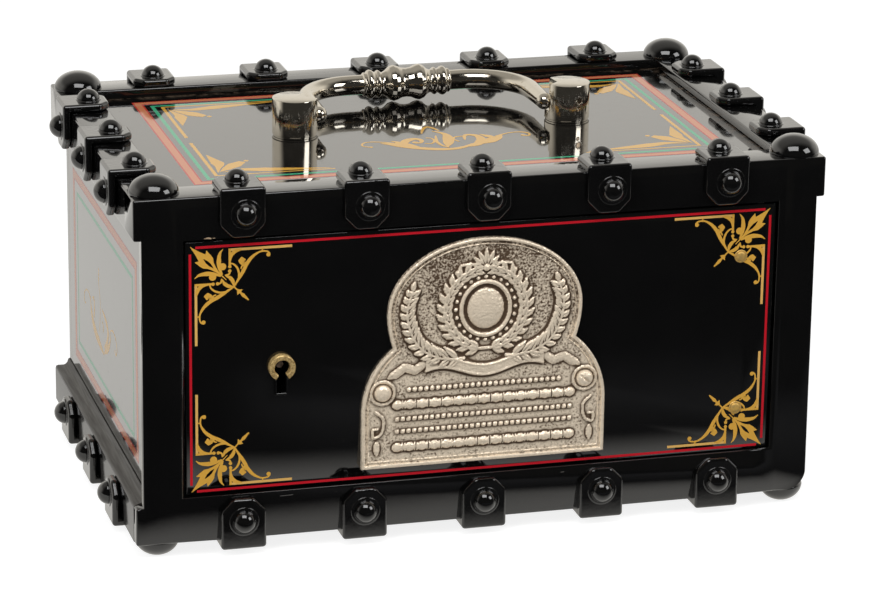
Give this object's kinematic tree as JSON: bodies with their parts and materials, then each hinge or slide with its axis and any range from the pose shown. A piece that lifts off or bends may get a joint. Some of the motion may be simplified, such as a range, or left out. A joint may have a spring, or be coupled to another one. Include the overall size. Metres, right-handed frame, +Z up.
{
  "type": "strongbox",
  "caption": "Banded black enamelled iron strongbox with a hinged front door, lever lock, arched nameplate, drop handle and ball feet.",
  "frame": {"origin": "on the floor plane under the centre of the case, between the four foot tips", "axes": "+X to the right along the front, +Y from the door towards the back, +Z up"},
  "size_m": [0.3756, 0.2486, 0.2016],
  "materials": {
    "enamel": "gloss black stove enamel on cast and plate iron",
    "nickel": "worn, warm nickel plate",
    "brass": "plain brass",
    "steel": "plain steel, lightly oiled",
    "gilt": "gilt rivet heads"
  },
  "bodies": {
    "case": {"front_frame": "enamel", "left_side_panel": "enamel", "right_side_panel": "enamel", "back_panel": "enamel", "top_panel": "enamel", "bottom_panel": "enamel", "left_top_band": "enamel", "right_top_band": "enamel", "rear_top_band": "enamel", "left_plinth_bar": "enamel", "right_plinth_bar": "enamel", "rear_plinth_bar": "enamel", "front_strap_1": "enamel", "front_strap_2": "enamel", "front_strap_3": "enamel", "front_strap_4": "enamel", "front_strap_5": "enamel", "right_strap_1": "enamel", "right_strap_2": "enamel", "right_strap_3": "enamel", "rear_strap_1": "enamel", "rear_strap_2": "enamel", "rear_strap_3": "enamel", "rear_strap_4": "enamel", "rear_strap_5": "enamel", "left_strap_1": "enamel", "left_strap_2": "enamel", "left_strap_3": "enamel", "front_left_stud": "enamel", "front_right_stud": "enamel", "rear_right_stud": "enamel", "rear_left_stud": "enamel", "front_left_foot": "enamel", "front_right_foot": "enamel", "rear_right_foot": "enamel", "rear_left_foot": "enamel", "left_handle_post": "nickel", "right_handle_post": "nickel", "left_post_nut": "steel", "right_post_nut": "steel", "upper_pivot_pin": "steel", "lower_pivot_pin": "steel"},
    "door": {"door_panel": "enamel", "hinge_bar": "steel", "upper_door_rivet": "gilt", "lower_door_rivet": "gilt", "nameplate": "nickel", "left_nameplate_screw": "nickel", "right_nameplate_screw": "nickel", "lock_case": "steel", "lock_cap": "steel", "lever_pivot": "steel", "drill_pin": "steel", "escutcheon_ring": "brass"},
    "bolt": {"lock_bolt": "brass"},
    "lever_1": {"lock_lever_1": "brass"},
    "lever_2": {"lock_lever_2": "brass"},
    "lever_3": {"lock_lever_3": "brass"},
    "bail": {"handle_bail": "nickel"}
  },
  "joints": [
    {"name": "door_hinge", "type": "hinge", "parent": "case", "child": "door", "pos_m": [0.1448, -0.108, 0.09825], "axis": [0, 0, 1], "range_deg": [0, 110]},
    {"name": "bolt_slide", "type": "slide", "parent": "door", "child": "bolt", "axis": [-1, 0, 0], "range_m": [0, 0.009]},
    {"name": "lever_1_pivot", "type": "hinge", "parent": "door", "child": "lever_1", "pos_m": [-0.0859, -0.0947, 0.1166], "axis": [0, 1, 0], "range_deg": [-6, 0]},
    {"name": "lever_2_pivot", "type": "hinge", "parent": "door", "child": "lever_2", "pos_m": [-0.0859, -0.0931, 0.1166], "axis": [0, 1, 0], "range_deg": [-6, 0]},
    {"name": "lever_3_pivot", "type": "hinge", "parent": "door", "child": "lever_3", "pos_m": [-0.0859, -0.0915, 0.1166], "axis": [0, 1, 0], "range_deg": [-6, 0]},
    {"name": "bail_swing", "type": "hinge", "parent": "case", "child": "bail", "pos_m": [0.0037, 0.0035, 0.1916], "axis": [1, 0, 0], "range_deg": [0, 90]}
  ],
  "couplings": [
    {"joint": "lever_2_pivot", "follows": "lever_1_pivot", "ratio": 1},
    {"joint": "lever_3_pivot", "follows": "lever_1_pivot", "ratio": 1}
  ]
}
